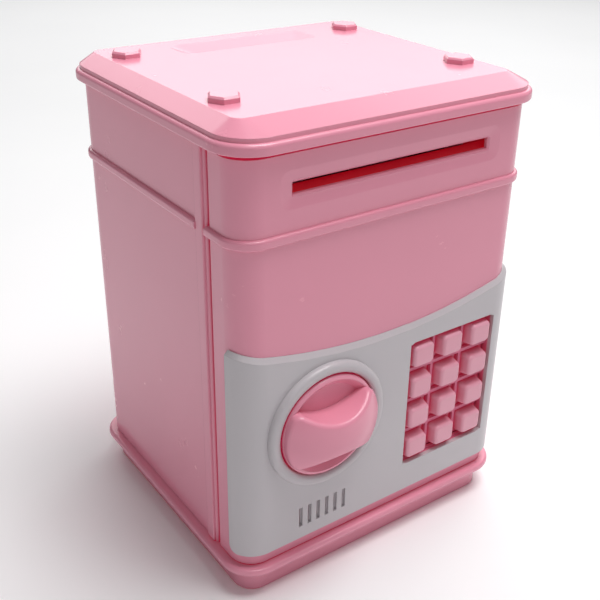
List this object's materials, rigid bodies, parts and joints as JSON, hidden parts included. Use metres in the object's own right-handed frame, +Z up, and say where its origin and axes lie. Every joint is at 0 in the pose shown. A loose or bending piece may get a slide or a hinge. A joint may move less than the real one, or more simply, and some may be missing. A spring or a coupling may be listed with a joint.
{
  "type": "toy safe coin bank",
  "caption": "Moulded toy safe with a hinged keypad door, turning knob and latch, banknote feed slot and coin slot in the lid.",
  "frame": {"origin": "on the ground, at the centre of the cabinet's base", "axes": "+Z up, front with the keypad towards -Y, +X to the right of someone facing the front"},
  "size_m": [0.1374, 0.1391, 0.19],
  "materials": {
    "pink_gloss": "moulded gloss",
    "panel_white": "moulded satin gloss",
    "key_pink": "moulded satin",
    "steel": "bright zinc",
    "mat_rubber": "silicone",
    "roller_rubber": "soft rubber",
    "board": "coated board",
    "black_plastic": "moulded",
    "note_guide": "moulded gloss",
    "white_plastic": "moulded",
    "cell": "printed sleeve",
    "contact": "nickel plated"
  },
  "bodies": {
    "cabinet": {"base": "pink_gloss", "rear_shell": "pink_gloss", "roof_cap": "pink_gloss", "hinge_pin_lower": "steel", "hinge_pin_upper": "steel", "base_screws": "steel", "roof_screws": "steel"},
    "door": {"door_shell": "pink_gloss", "face_panel": "panel_white", "keypad_mat": "mat_rubber", "circuit_board": "board", "speaker": "black_plastic", "door_back_cover": "pink_gloss", "battery_contacts": "contact", "battery_1": "cell", "battery_2": "cell", "battery_3": "cell", "solenoid_body": "steel", "feed_frame": "note_guide", "feed_motor": "steel", "back_cover_screws": "steel", "board_screws": "steel", "feed_frame_screws": "steel"},
    "dial": {"knob": "pink_gloss", "latch_cam": "white_plastic", "latch_screw": "steel"},
    "lock_plunger": {"solenoid_plunger": "steel"},
    "battery_door": {"battery_cover": "pink_gloss"},
    "feed_roller": {"feed_shaft": "steel", "feed_rubbers": "roller_rubber", "feed_gear": "white_plastic"},
    "middle_wheel": {"middle_gear": "white_plastic"},
    "motor_rotor": {"motor_gear": "white_plastic"},
    "pinch": {"pinch_roller": "white_plastic"},
    "key_1_button": {"key_1": "key_pink"},
    "key_2_button": {"key_2": "key_pink"},
    "key_3_button": {"key_3": "key_pink"},
    "key_4_button": {"key_4": "key_pink"},
    "key_5_button": {"key_5": "key_pink"},
    "key_6_button": {"key_6": "key_pink"},
    "key_7_button": {"key_7": "key_pink"},
    "key_8_button": {"key_8": "key_pink"},
    "key_9_button": {"key_9": "key_pink"},
    "key_star_button": {"key_star": "key_pink"},
    "key_0_button": {"key_0": "key_pink"},
    "key_hash_button": {"key_hash": "key_pink"}
  },
  "joints": [
    {"name": "door_hinge", "type": "hinge", "parent": "cabinet", "child": "door", "pos_m": [0.0619, -0.0446, 0.014], "axis": [0, 0, 1], "range_deg": [0, 95]},
    {"name": "knob_turn", "type": "hinge", "parent": "door", "child": "dial", "pos_m": [-0.0295, -0.06, 0.0701], "axis": [0, -1, 0], "range_deg": [0, 90]},
    {"name": "plunger_slide", "type": "slide", "parent": "door", "child": "lock_plunger", "axis": [-1, 0, 0], "range_m": [0, 0.0036]},
    {"name": "battery_cover_lift", "type": "slide", "parent": "door", "child": "battery_door", "axis": [0, 1, 0], "range_m": [0, 0.012]},
    {"name": "feed_spin", "type": "hinge", "parent": "door", "child": "feed_roller", "pos_m": [0, -0.0503, 0.15965], "axis": [1, 0, 0], "continuous": true},
    {"name": "middle_spin", "type": "hinge", "parent": "door", "child": "middle_wheel", "pos_m": [0, -0.0503, 0.15065], "axis": [1, 0, 0], "continuous": true},
    {"name": "motor_spin", "type": "hinge", "parent": "door", "child": "motor_rotor", "pos_m": [0, -0.0503, 0.14215], "axis": [1, 0, 0], "continuous": true},
    {"name": "pinch_spin", "type": "hinge", "parent": "door", "child": "pinch", "pos_m": [0, -0.0503, 0.16745], "axis": [1, 0, 0], "continuous": true},
    {"name": "key_1_press", "type": "slide", "parent": "door", "child": "key_1_button", "axis": [0, 1, 0], "range_m": [0, 0.0012], "stiffness_N_per_m": 150, "springref_m": -0.0006},
    {"name": "key_2_press", "type": "slide", "parent": "door", "child": "key_2_button", "axis": [0, 1, 0], "range_m": [0, 0.0012], "stiffness_N_per_m": 150, "springref_m": -0.0006},
    {"name": "key_3_press", "type": "slide", "parent": "door", "child": "key_3_button", "axis": [0, 1, 0], "range_m": [0, 0.0012], "stiffness_N_per_m": 150, "springref_m": -0.0006},
    {"name": "key_4_press", "type": "slide", "parent": "door", "child": "key_4_button", "axis": [0, 1, 0], "range_m": [0, 0.0012], "stiffness_N_per_m": 150, "springref_m": -0.0006},
    {"name": "key_5_press", "type": "slide", "parent": "door", "child": "key_5_button", "axis": [0, 1, 0], "range_m": [0, 0.0012], "stiffness_N_per_m": 150, "springref_m": -0.0006},
    {"name": "key_6_press", "type": "slide", "parent": "door", "child": "key_6_button", "axis": [0, 1, 0], "range_m": [0, 0.0012], "stiffness_N_per_m": 150, "springref_m": -0.0006},
    {"name": "key_7_press", "type": "slide", "parent": "door", "child": "key_7_button", "axis": [0, 1, 0], "range_m": [0, 0.0012], "stiffness_N_per_m": 150, "springref_m": -0.0006},
    {"name": "key_8_press", "type": "slide", "parent": "door", "child": "key_8_button", "axis": [0, 1, 0], "range_m": [0, 0.0012], "stiffness_N_per_m": 150, "springref_m": -0.0006},
    {"name": "key_9_press", "type": "slide", "parent": "door", "child": "key_9_button", "axis": [0, 1, 0], "range_m": [0, 0.0012], "stiffness_N_per_m": 150, "springref_m": -0.0006},
    {"name": "key_star_press", "type": "slide", "parent": "door", "child": "key_star_button", "axis": [0, 1, 0], "range_m": [0, 0.0012], "stiffness_N_per_m": 150, "springref_m": -0.0006},
    {"name": "key_0_press", "type": "slide", "parent": "door", "child": "key_0_button", "axis": [0, 1, 0], "range_m": [0, 0.0012], "stiffness_N_per_m": 150, "springref_m": -0.0006},
    {"name": "key_hash_press", "type": "slide", "parent": "door", "child": "key_hash_button", "axis": [0, 1, 0], "range_m": [0, 0.0012], "stiffness_N_per_m": 150, "springref_m": -0.0006}
  ],
  "couplings": [
    {"joint": "middle_spin", "follows": "feed_spin", "ratio": -2},
    {"joint": "motor_spin", "follows": "feed_spin", "ratio": 4.8},
    {"joint": "pinch_spin", "follows": "feed_spin", "ratio": -1.5}
  ]
}
